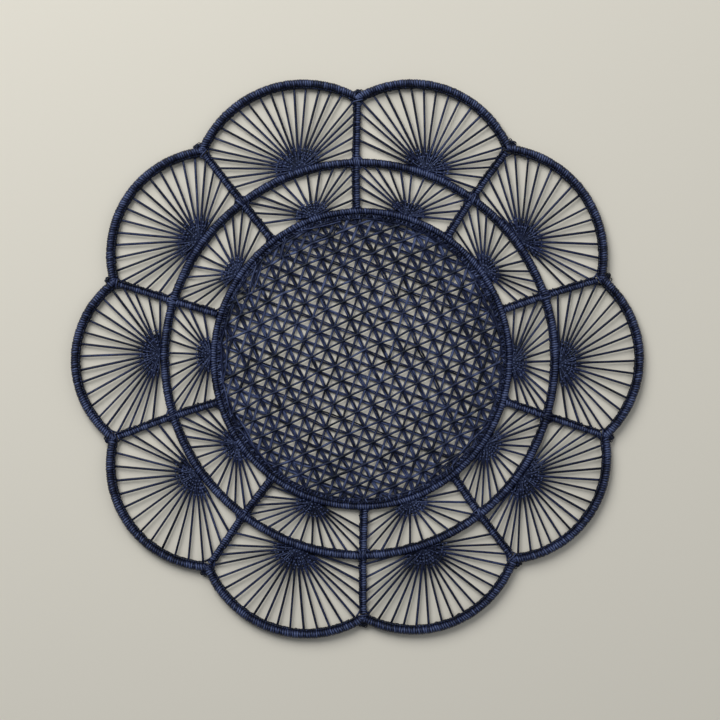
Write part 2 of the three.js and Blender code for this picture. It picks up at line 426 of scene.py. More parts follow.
def wind(work, line, winding, rng):
    """One long strip that runs round a line turn after turn, so that every turn is a ridge
    of its own, a little uneven."""
    sides = winding.sides
    turns = max(4, round(line.length / winding.pitch))
    steps = turns * sides
    n = np.arange(steps if line.closed else steps + 1)[:, None]
    place = n / sides + np.arange(ROWS)[None] / ROWS
    share = place / (turns if line.closed else turns + 1)
    point, ahead = line.at(share * line.length)
    turn = FULL_TURN * (n % sides) / sides - np.pi / 2
    depth = winding.groove * (1 + 0.4 * joined(rng.uniform(-1, 1, turns), place))
    depth = depth * (0.3 + 0.7 * np.maximum(np.sin(turn), 0))
    swell = winding.uneven * joined(rng.normal(size=turns), place)
    inset = depth * (1 - RIDGE) - swell
    across = winding.shift + (winding.width - inset) * np.cos(turn)
    rise = winding.level + (winding.height - inset) * np.sin(turn)
    askew = ASKEW * (1 + 0.5 * joined(rng.normal(size=turns), place))
    xy = point + across[..., None] * right_of(ahead) + (across * askew)[..., None] * ahead
    points = raised(xy, np.maximum(rise, 0.0))
    tones = rng.uniform(winding.dark, winding.light, turns + 1)
    tones = tones[np.broadcast_to(n // sides, place.shape)]
    shape = place.shape
    fibre = np.stack([
        np.broadcast_to(turn * winding.width, shape), share * line.length, tones], axis=-1)
    # Painted highlight on the crown of each turn, painted shade on its sides and in the grooves
    # between turns
    painted_crown_shading = 0.25 + 0.75 * np.maximum(np.sin(turn), 0) ** 1.4
    look = np.stack([tones, np.broadcast_to(RIDGE * painted_crown_shading, shape), np.zeros(shape)], axis=-1)
    work.add(points, fibre, look, winding_faces(turns, sides, line.closed))
    if not line.closed:
        cap_winding(work, points, fibre, look, turns, sides)


def winding_faces(turns, sides, closed):
    """Faces along the strip, and from each turn to the next."""
    steps = turns * sides
    here = np.arange(steps)
    near = here if closed else here[:steps - sides]
    ahead = here + 1
    across = near + sides
    beyond = across + 1
    if closed:
        ahead = ahead % steps
        across = across % steps
        beyond = beyond % steps
    faces = [
        np.stack([
            here * ROWS + k, here * ROWS + k + 1, ahead * ROWS + k + 1, ahead * ROWS + k], axis=-1)
        for k in range(ROWS - 1)
    ]
    faces.append(np.stack([
        near * ROWS + ROWS - 1, across * ROWS, beyond * ROWS,
        ahead[:len(near)] * ROWS + ROWS - 1], axis=-1))
    return faces


def cap_winding(work, points, fibre, look, turns, sides):
    """Closes the two ends of a winding, which lie inside the wires that it meets."""
    steps = turns * sides
    index = np.arange(points.shape[0] * ROWS).reshape(-1, ROWS)
    start = np.concatenate([index[:sides + 1, 0], index[0, :0:-1], index[:1, 0]])
    end = np.concatenate([
        index[steps, :], index[steps - 1:steps - sides - 1:-1, ROWS - 1], index[steps:, 0]])
    points, fibre, look = (rows.reshape(-1, 3) for rows in (points, fibre, look))
    for loop in (start, end):
        pairs = np.stack([loop[:-1], loop[1:]], axis=-1)
        count = len(pairs)
        base = 2 * np.arange(count)
        work.add(
            np.concatenate([points[pairs].reshape(-1, 3), points[loop[:-1]].mean(axis=0)[None]]),
            np.concatenate([fibre[pairs].reshape(-1, 3), fibre[:1]]),
            np.concatenate([look[pairs].reshape(-1, 3), look[:1]]),
            [np.stack([base, base + 1, np.full(count, 2 * count)], axis=-1)])


# The loose stitches beside a spoke: from one to the next, how far they stray, and half of
# their length, width and height
PURL_PITCH = 9.0 * MM
PURL_STRAY = 0.25 * MM
PURL_SIZE = np.array([0.7, 0.6, 0.7]) * MM
# Height of the stitches beside the wrapping
STITCH_LEVEL = 2.2 * MM


def purl(work, line, offset, rng):
    """A row of loose stitches along one side of a wire, lying nearly across it."""
    count = max(3, round(line.length / PURL_PITCH))
    place = (np.arange(count) + 0.5 + rng.uniform(-0.25, 0.25, count)) * line.length / count
    point, ahead = line.at(place)
    aside = right_of(ahead)
    across = offset + rng.normal(size=count) * PURL_STRAY
    z = STITCH_LEVEL + rng.normal(size=count) * 1.5 * PURL_STRAY
    angle = 1.1 + rng.normal(size=count) * 0.3
    flat = np.cos(angle)[:, None] * ahead + np.sin(angle)[:, None] * aside
    tip = rng.normal(size=count) * 0.25
    long_axis = raised(flat * np.cos(tip)[:, None], np.sin(tip))
    side_axis = unit(np.cross(UP, long_axis))
    sizes = PURL_SIZE * (1 + 0.25 * rng.uniform(-1, 1, (count, 3)))
    centres = raised(point + across[:, None] * aside, z)
    beads(work, centres, long_axis, side_axis, sizes, rng.uniform(0.0, 0.4, count))


# A lash runs from under one side of its wire, over it, to under the other side
LASH_TURN = np.linspace(math.radians(-12), math.radians(192), 15)
LASH_THICKNESS = 0.7 * MM


def lash(work, centre, along, half_width, half_height, drift, width, tone):
    """A strip that passes over a wire from one side to the other, drifting along it."""
    turn = LASH_TURN
    aside = left_of(along)
    slide = drift * (turn - np.pi / 2) / (np.pi / 2)
    xy = centre + (half_width * np.cos(turn))[:, None] * aside + slide[:, None] * along
    points = raised(xy, half_height + half_height * np.sin(turn))
    ahead = unit(np.gradient(points, axis=0))
    outward = raised(np.cos(turn)[:, None] * aside, np.sin(turn))
    outward = unit(outward - (outward * ahead).sum(axis=-1, keepdims=True) * ahead)
    strand(work, points, width, LASH_THICKNESS, tone, up=outward)


def corner_stitch(work, corner, first, second, reach, level, tone):
    """A strip that rounds off the corner between two wires."""
    t = np.linspace(0, 1, 9)[:, None]
    start = corner + reach * first - 0.6 * MM * second
    end = corner + reach * second - 0.6 * MM * first
    bow = corner + 0.15 * reach * (first + second)
    xy = (1 - t) ** 2 * start + 2 * t * (1 - t) * bow + t ** 2 * end
    z = level + 0.5 * MM * np.sin(np.pi * t[:, 0])
    strand(work, raised(xy, z), 1.05 * MM, 1.1 * MM, tone)


# Wires

# How far a winding and the stitches of its corners run into the wire that it meets, and how
# far they run into the rim
SINKS = (1.0 * MM, 0.3 * MM)
RIM_SINKS = (1.8 * MM, 0.2 * MM)
# How much narrower the wrapping is than its wire, on each side
WRAPPING_GAP = 0.2 * MM
# The row of tight stitches beside the wrapping, on the rim and on the other wires: its height
# over the floor, and half its own width and height
RIM_ROW = (2.8 * MM, 1.15 * MM, 1.7 * MM)
ROW = (STITCH_LEVEL, 0.95 * MM, 1.5 * MM)
# The darkest and the lightest tone of a turn, and the points round it
WRAPPING_LOOK = (0.35, 1.0, 14)
ROW_LOOK = (-0.2, 0.3, 8)
# The lashes over a notch of the rim: the way that each drifts, and how far outward it lies, in
# millimetres. Those over a crossing of the middle ring: how far each lies to the left.
RIM_LASHES = ((1, -1.5), (-1, 0.6))
RING_LASHES = (-1.4, -0.2, 1.1)


def main_winding(tube, shift, half_width, settings):
    """The wrapping that shows on top of a wire."""
    return Winding(shift, tube / 2, half_width, tube / 2, settings.pitch, settings.depth,
                   settings.uneven, *WRAPPING_LOOK)


def edge_winding(shift, row, settings):
    """The darker row of tight stitches beside the wrapping."""
    return Winding(shift, *row, 1.05 * settings.pitch, 1.1 * settings.depth,
                   2.2 * settings.uneven, *ROW_LOOK)


def make_rim(settings):
    rng = draws("rim")
    work = Work()
    half = RIM_TUBE / 2
    wrapping = main_winding(RIM_TUBE, 0.6 * MM, half - 0.75 * MM, settings)
    stitches = edge_winding(-2.3 * MM, RIM_ROW, settings)
    for lobe in LOBES:
        wind(work, lobe.stretched(MITRE_LEAD * half), wrapping, rng)
        wind(work, lobe.stretched(-1.0 * MM), stitches, rng)
    for valley in VALLEYS:
        out = unit(valley - MIDDLE)
        for turn, shift in RIM_LASHES:
            drift = turn * rng.uniform(0.4, 1.2) * MM
            lash(work, valley + shift * MM * out, out, half - 0.1 * MM, half - 0.05 * MM, drift,
                 1.0 * MM, rng.uniform(0.0, 0.7))
    return work.finish("wound_rim")


def wind_ring(ring, kind, tube, settings):
    """A ring's wrapping and the row of stitches on its inside."""
    rng = draws(kind)
    work = Work()
    half = tube / 2
    wind(work, ring, main_winding(tube, 0.45 * MM, half - WRAPPING_GAP, settings), rng)
    wind(work, ring, edge_winding(0.35 * MM - half, ROW, settings), rng)
    return work, rng


def make_middle_ring(settings):
    ring = Arc(MIDDLE, MIDDLE_RADIUS, 0, FULL_TURN, MIDDLE_SWAY)
    work, rng = wind_ring(ring, "middle_ring", MIDDLE_TUBE, settings)
    half = MIDDLE_TUBE / 2
    for crossing in MIDDLE_CROSSINGS:
        out = unit(crossing - MIDDLE)
        for shift in RING_LASHES:
            centre = crossing + shift * MM * left_of(out) + 0.2 * MM * out
            lash(work, centre, left_of(out), half + 0.6 * MM, half + 0.1 * MM,
                 rng.uniform(-1.6, 1.6) * MM, 1.1 * MM, rng.uniform(0.1, 1))
    return work.finish("wound_middle_ring")


def make_inner_ring(settings):
    ring = Arc(INNER, INNER_RADIUS, 0, FULL_TURN, INNER_SWAY)
    work, _ = wind_ring(ring, "inner_ring", INNER_TUBE, settings)
    return work.finish("wound_inner_ring")


def make_spoke(k, kind, foot, foot_tube, head, head_tube, sinks, ways, settings):
    """A spoke from the wire at its foot to the wire at its head, with the stitches that round
    off its corners. sinks tell how far it runs into the wire at its head, and ways how that
    wire leaves its left and its right corner."""
    rng = draws(kind, k)
    work = Work()
    node = numbered(kind, k)
    tube = tube_of(node)
    half = tube / 2
    out = unit(head - foot)
    left = left_of(out)
    line = Straight(foot + (foot_tube / 2 - SINKS[0]) * out,
                    head - (head_tube / 2 - sinks[0]) * out)
    side = -PETALS[k].purl
    wind(work, line, main_winding(tube, -0.4 * MM * side, half - WRAPPING_GAP, settings), rng)
    wind(work, line, edge_winding(side * (half - 0.15 * MM), ROW, settings), rng)
    purl(work, line, side * (half + 0.55 * MM), rng)
    low = foot + (foot_tube / 2 - SINKS[1]) * out
    high = head - (head_tube / 2 - sinks[1]) * out
    for corner, first, second in (
            (low + half * left, out, left), (low - half * left, out, -left),
            (high + half * left, -out, ways[0]), (high - half * left, -out, ways[1])):
        for nest in range(2):
            reach = rng.triangular(0.8, 1.2, 3.8) * MM
            corner_stitch(work, corner, first, second, reach, (1.6 + 0.9 * nest) * MM,
                          rng.uniform(-0.2, 0.6))
    return work.finish(f"wound_{node}")


def make_outer_spoke(k, settings):
    arriving = LOBES[k - 1].at(np.array([LOBES[k - 1].length]))[1][0]
    leaving = LOBES[k].at(np.array([0.0]))[1][0]
    return make_spoke(k, "outer_spoke", MIDDLE_CROSSINGS[k], MIDDLE_TUBE, VALLEYS[k], RIM_TUBE,
                      RIM_SINKS, (leaving, -arriving), settings)


def make_inner_spoke(k, settings):
    foot, head = INNER_CROSSINGS[k], MIDDLE_CROSSINGS[k]
    left = left_of(unit(head - foot))
    return make_spoke(k, "inner_spoke", foot, INNER_TUBE, head, MIDDLE_TUBE, SINKS,
                      (left, -left), settings)


# A knot's lumps: how far outward from the notch and sideways, and the loops' radius
KNOT_LUMPS = [(4.0, -1.5, 1.55), (4.2, 1.4, 1.45), (4.9, 0.1, 1.5), (2.9, 0.0, 1.9)]
LOOPS_IN_A_LUMP = 6
CURLS_ON_A_KNOT = 3
KNOT_LEVEL = 2.9 * MM


def make_knot(k):
    """Where the binding is tied off: loops of fibre over small lumps, and loose curls."""
    rng = draws("knot", k)
    work = Work()
    out = unit(VALLEYS[k] - MIDDLE)
    left = left_of(out)
    for forward, aside, size in KNOT_LUMPS:
        centre = np.append(VALLEYS[k] + (forward * out + aside * left) * MM, KNOT_LEVEL)
        for _ in range(LOOPS_IN_A_LUMP):
            normal = unit(rng.normal(size=3))
            loop(work, centre, normal, size * rng.uniform(0.6, 1.0) * MM,
                 rng.uniform(-0.4, 0.4) * size * MM, 0.85 * MM, rng.uniform(-0.2, 0.8))
    for _ in range(CURLS_ON_A_KNOT):
        place = VALLEYS[k] + (rng.uniform(4.6, 6.0) * out + rng.uniform(-2.4, 2.4) * left) * MM
        normal = unit(raised(0.5 * rng.normal(size=2), 1.0))
        loop(work, np.append(place, rng.uniform(1.8, 3.6) * MM), normal,
             rng.uniform(0.8, 1.15) * MM, 0.0, 0.6 * MM, rng.uniform(-0.4, 0.3))
    return work.finish(f"tied_{numbered('knot', k)}")


def loop(work, centre, normal, radius, offset, width, tone):
    """A closed loop of fibre round centre, moved offset along its normal."""
    first = unit(np.cross(normal, [0.3, 0.5, 0.8]))
    second = np.cross(normal, first)
    t = np.linspace(0, FULL_TURN, 16, endpoint=False)[:, None]
    points = centre + offset * normal + radius * (np.cos(t) * first + np.sin(t) * second)
    points[:, 2] = np.maximum(points[:, 2], 0.6 * MM)
    strand(work, points, width, 0.85 * width, tone, up=normal, closed=True)


# Fans

# How far short of the middle of the wires round it an outer and an inner fan's threads end
OUTER_INSET = 1.9 * MM
INNER_INSET = 1.7 * MM
# The share of a hub in which its threads are ribs, the tones that a rib may have, and how far
# two neighbouring threads are drawn together just outside the hub
RIB_REACH = 0.85
RIB_TONES = [0.2, 0.6, 1.1]
PULL = 0.25 * MM


def even_steps(points, steps, nudge):
    """Even steps along an open line of points, without its two ends, all moved by a part
    of a step."""
    lengths = np.linalg.norm(np.diff(points, axis=0), axis=-1)
    along = np.concatenate([[0], np.cumsum(lengths)])
    places = (np.arange(steps) + 1 + nudge) / (steps + 1) * along[-1]
    return np.stack([np.interp(places, along, points[:, axis]) for axis in (0, 1)], axis=-1)


def fan_thread(work, focus, hub, target, spacing, pull, settings, rng):
    """One thread from the hub's middle to the frame of its cell. spacing is its angle to
    the next one, and pull draws it sideways, towards the thread that it shares a loop with."""
    reach = np.linalg.norm(target - focus)
    ahead = (target - focus) / reach
    distance = np.concatenate([
        np.linspace(0.06 * hub, 1.1 * hub, 7)[:-1],
        np.linspace(1.1 * hub, reach, 9)])
    near = np.exp(-((distance - 1.05 * hub) / (0.4 * hub)) ** 2)
    wave = rng.uniform(-0.1, 0.1) * MM * np.sin(np.pi * distance / reach)
    offset = pull * near + wave
    xy = focus + distance[:, None] * ahead + offset[:, None] * left_of(ahead)
    bulge = np.clip((distance - hub) / (0.8 * hub), 0, 1)
    level = THREAD_LEVEL + 0.4 * MM * (1 - bulge) + rng.uniform(-0.1, 0.1) * MM
    width = settings.width * rng.uniform(0.92, 1.08)
    width = width * (1 + 0.3 * near)
    width = np.minimum(width, 0.42 * spacing * np.maximum(distance, 0.15 * hub)
                       + np.clip(distance - RIB_REACH * hub, 0, 1))
    rib_tone = rng.choice(RIB_TONES)
    tone = np.where(distance < RIB_REACH * hub, rib_tone, rng.uniform(-0.15, 0.35))
    strand(work, raised(xy, level), width, settings.thickness, tone)


def on_hub(focus, heading, radius, angle):
    """Places on a hub at these radii, and angles from the way that it faces."""
    xy = np.cos(angle)[:, None] * heading + HUB_SPREAD * np.sin(angle)[:, None] * left_of(heading)
    return focus + np.broadcast_to(radius, angle.shape)[:, None] * xy


# From one round to the next in a hub's base and in its stitches, from one stitch to the next,
# and half of a stitch's length, width and height
BASE_PITCH = 1.15 * MM
ROUND_PITCH = 1.85 * MM
STITCH_PITCH = 1.85 * MM
STITCH_SIZE = np.array([0.72, 0.56, 0.58]) * MM


def hub_base(work, focus, heading, hub):
    """Close rounds of fibre under the hub's ribs, their dark tone painted shade in the gaps
    between the stitches.
    """
    angle = 0.96 * np.pi * np.linspace(-0.5, 0.5, 17)
    rows = round(hub / BASE_PITCH)
    for row in range(rows):
        xy = on_hub(focus, heading, 0.97 * hub * (row + 0.5) / rows, angle)
        strand(work, raised(xy, THREAD_LEVEL - 0.6 * MM), 1.35 * MM, 0.8 * MM, -0.2)


def hub_stitches(work, focus, heading, hub, rng):
    """Rounds of small stitches over the hub's ribs, each round half a stitch on."""
    rounds = round(0.8 * hub / ROUND_PITCH)
    for row in range(rounds + 1):
        radius = hub * (0.2 + 0.9 * row / rounds)
        step = STITCH_PITCH / radius
        angle = np.arange(-0.47 * np.pi + step * (0.25 + 0.5 * (row % 2)), 0.47 * np.pi, step)
        angle = angle[rng.random(len(angle)) < 0.9]
        count = len(angle)
        angle = angle + rng.uniform(-0.12, 0.12, count) * step
        reach = radius + rng.normal(size=count) * 0.16 * MM
        xy = on_hub(focus, heading, reach, angle)
        out = unit(xy - focus)
        level = THREAD_LEVEL + rng.uniform(0.55, 0.85, count) * MM
        tilt = rng.normal(size=count)[:, None] * 0.25
        long_axis = raised(left_of(out) * np.cos(tilt) + out * np.sin(tilt), 0.0)
        sizes = STITCH_SIZE * rng.uniform(0.75, 1.15, (count, 3))
        beads(work, raised(xy, level), long_axis, np.cross(UP, long_axis), sizes,
              rng.uniform(0.6, 1.5, count))


def make_fan(k, kind, focus, heading, hub, threads, nudge, line, inset, settings):
    """A fan of threads on a woven half-round hub. heading points from the hub into the cell,
    line is the middle of the wires round it, and inset is how far short of the line the
    threads end, inside the wrapping."""
    rng = draws(kind, k)
    work = Work()
    spacing = np.pi / (threads + 1)
    for i, target in enumerate(even_steps(line, threads, nudge)):
        ahead = unit(target - focus)
        target = target - inset * ahead + rng.uniform(-0.5, 0.5) * MM * left_of(ahead)
        pull = PULL if i % 2 == 0 else -PULL
        fan_thread(work, focus, hub, target, spacing, pull, settings, rng)
    hub_base(work, focus, heading, hub)
    hub_stitches(work, focus, heading, hub, rng)
    return work.finish(f"woven_{numbered(kind, k)}")


def make_outer_fan(k, settings):
    row, after = PETALS[k], PETALS[following(k)]
    edge = MIDDLE_RADIUS + MIDDLE_TUBE / 2
    line = np.array([polar(row.mid, edge), *LOBES[k].points(48), polar(after.mid, edge)])
    return make_fan(k, "outer_fan", polar(row.hub, edge - HUB_SINK), direction(row.hub),
                    OUTER_HUB, row.threads, row.nudge, line, OUTER_INSET, settings)


def make_inner_fan(k, settings):
    row, after = PETALS[k], PETALS[following(k)]
    edge = INNER_RADIUS + INNER_TUBE / 2
    span = (after.mid - row.mid) % 360
    outside = [polar(row.mid + span * i / 24, MIDDLE_RADIUS) for i in range(25)]
    line = np.array([polar_inner(row.inn, edge), *outside, polar_inner(after.inn, edge)])
    return make_fan(k, "inner_fan", polar_inner(row.hub_in, edge - HUB_SINK),
                    direction(row.hub_in), INNER_HUB, row.threads_in, row.nudge_in, line,
                    INNER_INSET, settings)


# Net


# The crossing from which the net's meshes are counted, from the middle of the inner ring
NET_START = np.array([2.5, 5.5]) * MM


class Lattice:
    """Where the net's strands cross. The meshes are widest in the middle of the net."""

    def __init__(self, settings, rng):
        self.settings = settings
        self.first = settings.pitch * direction(math.degrees(settings.turn))
        self.second = settings.cross_pitch * direction(math.degrees(settings.cross_turn))
        self.reach = math.ceil(1.6 * INNER_RADIUS / settings.pitch)
        count = 2 * self.reach + 1
        self.stray = rng.normal(size=(count, count, 2)) * settings.stray

    def crossing(self, i, j):
        place = NET_START + i * self.first + j * self.second
        squeeze = 1 - self.settings.squeeze * min((place @ place) / INNER_RADIUS ** 2, 2.2)
        place = place * squeeze
        if max(abs(i), abs(j)) <= self.reach:
            place = place + self.stray[i + self.reach, j + self.reach]
        return INNER + place


# Points of a strand from one crossing to the next, and how much of its distance to the side
# is left at a crossing
MESH_STEPS = 8
PINCH = 0.3


def net_line(lattice, crossings, span, spread):
    """One strand's line through these crossings, cut off at the radius span, and for each of
    its points the place among the crossings. spread is how far it lies to the side."""
    nodes = np.array([lattice.crossing(i, j) for i, j in crossings])
    t = np.linspace(0, len(nodes) - 1, (len(nodes) - 1) * MESH_STEPS + 1)
    xy = np.stack([np.interp(t, np.arange(len(nodes)), nodes[:, a]) for a in (0, 1)], axis=-1)
    for _ in range(2):
        xy[1:-1] = 0.25 * xy[:-2] + 0.5 * xy[1:-1] + 0.25 * xy[2:]
    ahead = unit(np.gradient(xy, axis=0))
    opening = np.abs(np.sin(np.pi * t)) ** 0.7
    xy = xy + spread * (PINCH + (1 - PINCH) * opening)[:, None] * left_of(ahead)
    kept = np.flatnonzero(np.linalg.norm(xy - INNER, axis=-1) < span)
    if len(kept) < 4:
        return None, None
    rows = slice(kept[0], kept[-1] + 1)
    return xy[rows], t[rows]


# The net's four sets of strands: their way through the lattice, height, distance of the
# strands of a pair from their line, width as a share of the net's, and wear and painted sheen
NetSet = namedtuple("NetSet", "lines height sides width wear")


def net_sets(reach):
    steps = range(-reach, reach + 1)
    wide = range(-2 * reach, 2 * reach + 1)
    return [
        NetSet([[(i, j) for i in steps] for j in steps], 2.3, (0.0,), 1.05, 0.15),
        NetSet([[(j + i, -i) for i in steps] for j in wide], 1.95, (0.0,), 1.15, 0.5),
        NetSet([[(j + i, i) for i in steps] for j in wide], 1.6, (-0.62, 0.62), 0.74, 0.1),
        NetSet([[(j, i) for i in steps] for j in steps], 1.25, (-0.7, 0.7), 0.92, 0.15),
    ]


def make_net(settings):
    rng = draws("net")
    work = Work()
    lattice = Lattice(settings, rng)
    span = INNER_RADIUS - INNER_TUBE / 2 - 0.2 * MM
    for group in net_sets(lattice.reach):
        for number, crossings in enumerate(group.lines):
            for spread in group.sides:
                phase = rng.uniform(0, FULL_TURN)
                dip = rng.uniform(0.05, 0.2) * MM
                side = spread * rng.uniform(0.65, 1.25) * MM
                xy, t = net_line(lattice, crossings, span, side)
                if xy is None:
                    continue
                level = group.height * MM + dip * np.sin(np.pi * (t + number) + phase)
                # Painted shade at the crossings, where strands lie over one another: the tone
                # drops there
                knot = np.exp(-((t - np.round(t)) / 0.16) ** 2)
                tone = rng.uniform(0.1, 0.5) + joined(rng.normal(size=61) * 0.3, 2.3 * t)
                tone = tone - 0.5 * knot
                outward = np.linalg.norm(xy - INNER, axis=-1) / span
                width = settings.width * (1 + 0.25 * np.clip((outward - 0.55) / 0.4, 0, 1))
                strand(work, raised(xy, level), group.width * width * rng.uniform(0.9, 1.1),
                       settings.thickness, tone, wear=group.wear * rng.uniform(0.3, 1))
    return work.finish("stretched_net")


def round_strand(work, radius, wander, level, width, rng):
    """A strand that follows the inside of the inner ring, wandering a little."""
    angle = np.linspace(0, FULL_TURN, 260, endpoint=False)
    waves = sum(
        rng.uniform(0.3, 1) * np.sin(k * angle + rng.uniform(0, FULL_TURN))
        for k in (7, 13, 23, 41))
    bow = radius + wander * waves * 0.5
    xy = INNER + bow[:, None] * headings(angle)
    level = level + 0.35 * MM * np.sin(19 * angle + rng.uniform(0, 6))
    strand(work, raised(xy, level), width, 0.8 * MM, rng.uniform(-0.3, 0.4), closed=True)


def loose_strip(work, middle, heading, length, level, width, tone, wear, rng):
    """A nearly straight strip that lies over the net."""
    t = np.linspace(-0.5, 0.5, 9)
    ahead = direction(heading)
    bow = rng.uniform(-0.06, 0.06) * length * (1 - 4 * t ** 2)
    xy = middle + length * t[:, None] * ahead + bow[:, None] * left_of(ahead)
    reach = np.linalg.norm(xy - INNER, axis=-1, keepdims=True)
    limit = INNER_RADIUS - INNER_TUBE / 2 + 0.3 * MM
    xy = INNER + (xy - INNER) * np.minimum(1, limit / reach)
    strand(work, raised(xy, level), width, 0.55 * MM, tone, wear=wear)


# The net's edge: how far inside the ring its round strands lie, in millimetres, and how many
# whip stitches, long strips along the ring, and loose strips at the upper left it has
ROUND_STRANDS = (0.5, 1.4, 2.3)
WHIPS = 330
LONG_STRIPS = 12
LOOSE_STRIPS = 15
# Between which angles the loose strips lie, and the ways that they run, in degrees
LOOSE_PLACES = (96, 176)
LOOSE_HEADINGS = [25, 68, 68, -64, -20]


def make_net_edge():
    """The band of stitches that ties the net to the inner ring."""
    rng = draws("net_edge")
    work = Work()
    edge = INNER_RADIUS - INNER_TUBE / 2
    for inward in ROUND_STRANDS:
        round_strand(work, edge - inward * MM, 0.4 * MM, rng.uniform(1.7, 3.0) * MM, 1.1 * MM,
                     rng)
    t = np.linspace(0, 1, 6)
    for i in range(WHIPS):
        angle = FULL_TURN * (i + rng.uniform(-0.4, 0.4)) / WHIPS
        turned = angle + rng.uniform(-0.02, 0.02) * t
        radius = edge + 0.3 * MM - rng.uniform(1.6, 3.2) * MM * t
        xy = INNER + radius[:, None] * headings(turned)
        level = 2.2 * MM + 1.3 * MM * np.sin(np.pi * (0.15 + 0.75 * t))
        strand(work, raised(xy, level), 0.95 * MM, 0.7 * MM, rng.uniform(-0.2, 0.9))
    for _ in range(LONG_STRIPS):
        heading = rng.uniform(0, 360)
        middle = polar_inner(heading, edge - rng.uniform(1.5, 4.5) * MM)
        loose_strip(work, middle, heading + 90 + rng.uniform(-8, 8), rng.uniform(22, 50) * MM,
                    rng.uniform(2.9, 3.5) * MM, 1.2 * MM, rng.uniform(0, 0.7), 0.0, rng)
    for _ in range(LOOSE_STRIPS):
        place = rng.uniform(*LOOSE_PLACES)
        middle = polar_inner(place, edge - rng.triangular(1, 4, 16) * MM)
        heading = rng.choice(LOOSE_HEADINGS) + rng.normal() * 5
        loose_strip(work, middle, heading, rng.uniform(8, 22) * MM, rng.uniform(2.6, 3.3) * MM,
                    rng.uniform(0.9, 1.2) * MM, rng.uniform(-0.2, 0.6), rng.uniform(0, 0.5), rng)
    return work.finish("net_edge_stitches")


# Materials


# The kind of a group's socket, by how many numbers its value has
SOCKET_KINDS = {1: "NodeSocketFloat", 3: "NodeSocketVector", 4: "NodeSocketColor"}


def new_group(name, inputs, outputs):
    """An empty shader node group with these named sockets: name and starting value."""
    tree = bpy.data.node_groups.new(name, "ShaderNodeTree")
    for way, sockets in (("INPUT", inputs), ("OUTPUT", outputs)):
        for label, value in sockets.items():
            socket = tree.interface.new_socket(
                label, in_out=way, socket_type=SOCKET_KINDS[np.size(value)])
            socket.default_value = value
    return tree, tree.nodes.new("NodeGroupInput").outputs, tree.nodes.new("NodeGroupOutput").inputs


def feed(tree, socket, value):
    """Links a socket to another, or sets its value."""
    if isinstance(value, bpy.types.NodeSocket):
        tree.links.new(value, socket)
    else:
        socket.default_value = value


def add_node(tree, kind, inputs, **settings):
    """A new node with these settings, its inputs linked or set."""
    node = tree.nodes.new(kind)
    for label, value in settings.items():
        setattr(node, label, value)
    for label, value in inputs.items():
        feed(tree, node.inputs[label], value)
    return node


def math_node(tree, operation, first, second=0.0):
    return add_node(tree, "ShaderNodeMath", {0: first, 1: second}, operation=operation).outputs[0]


def clamped(tree, value):
    return add_node(tree, "ShaderNodeClamp", {"Value": value}).outputs[0]


def weighed(tree, value, middle, weight):
    """How far a value lies from its middle, times its weight."""
    return math_node(tree, "MULTIPLY", math_node(tree, "SUBTRACT", value, middle), weight)


def mixed(tree, share, first, second):
    """A mix of two colours. The node's sockets go by place: its other kinds share the names."""
    inputs = {0: share, 6: first, 7: second}
    return add_node(tree, "ShaderNodeMix", inputs, data_type="RGBA").outputs[2]


def fibre_streaks():
    """Fine streaks that run along each strip of palm fibre."""
    tree, given, result = new_group(
        "Fibre streaks",
        {"Fibre": (0.0, 0.0, 0.0), "Along": 120.0, "Across": 2600.0},
        {"Streak": 0.5})
    scale = add_node(tree, "ShaderNodeCombineXYZ",
                     {"X": given["Along"], "Y": given["Across"], "Z": given["Across"]})
    stretched = add_node(tree, "ShaderNodeVectorMath",
                         {0: given["Fibre"], 1: scale.outputs[0]}, operation="MULTIPLY")
    noise = add_node(tree, "ShaderNodeTexNoise", {
        "Scale": 1.0, "Detail": 2.5, "Roughness": 0.6, "Vector": stretched.outputs[0]})
    feed(tree, result["Streak"], noise.outputs["Fac"])
    return tree


def dye_tone_and_painted_light():
    """The fibre's colour: by the strip's own tone and its streaks, with painted highlight where
    it stands up and painted shade in its grooves, broad clouds where the dye took unevenly, and
    wear with painted sheen, which mixes in the paler colour of undyed palm."""
    black = (0.0, 0.0, 0.0, 1.0)
    tree, given, result = new_group(
        "Dye tone",
        {"Tone": 0.5, "Streak": 0.5, "Crest": 0.5, "Clouds": 0.5, "Wear": 0.0,
         "Dark": black, "Mid": black, "Light": black, "Bare": black},
        {"Color": black})
    place = tree.nodes.new("ShaderNodeTexCoord")
    noise = add_node(tree, "ShaderNodeTexNoise", {
        "Scale": 28.0, "Detail": 3.0, "Vector": place.outputs["Object"]})
    light = math_node(tree, "MULTIPLY", given["Tone"], 0.8)
    light = math_node(tree, "ADD", light, weighed(tree, given["Streak"], 0.5, 1.7))
    # Painted highlight on crests and painted shade in grooves and on the undersides of strands
    light = math_node(tree, "ADD", light, weighed(tree, given["Crest"], 0.7, 1.1))
    clouds = weighed(tree, noise.outputs["Fac"], 0.5, given["Clouds"])
    light = math_node(tree, "ADD", light, clouds)
    light = math_node(tree, "MULTIPLY", light, 2.0)
    base = mixed(tree, clamped(tree, light), given["Dark"], given["Mid"])
    upper = clamped(tree, math_node(tree, "SUBTRACT", light, 1.0))
    dyed = mixed(tree, upper, base, given["Light"])
    # Wear and painted sheen: the paler colour shows most where the fibre is painted lightest
    worn = clamped(tree, math_node(tree, "MULTIPLY", given["Wear"], clamped(tree, light)))
    feed(tree, result["Color"], mixed(tree, worn, dyed, given["Bare"]))
    return tree


def group_node(tree, name, build, **values):
    """A node of a shared group, which is built when it is first needed."""
    group = bpy.data.node_groups.get(name) or build()
    return add_node(tree, "ShaderNodeGroup", values, node_tree=group).outputs


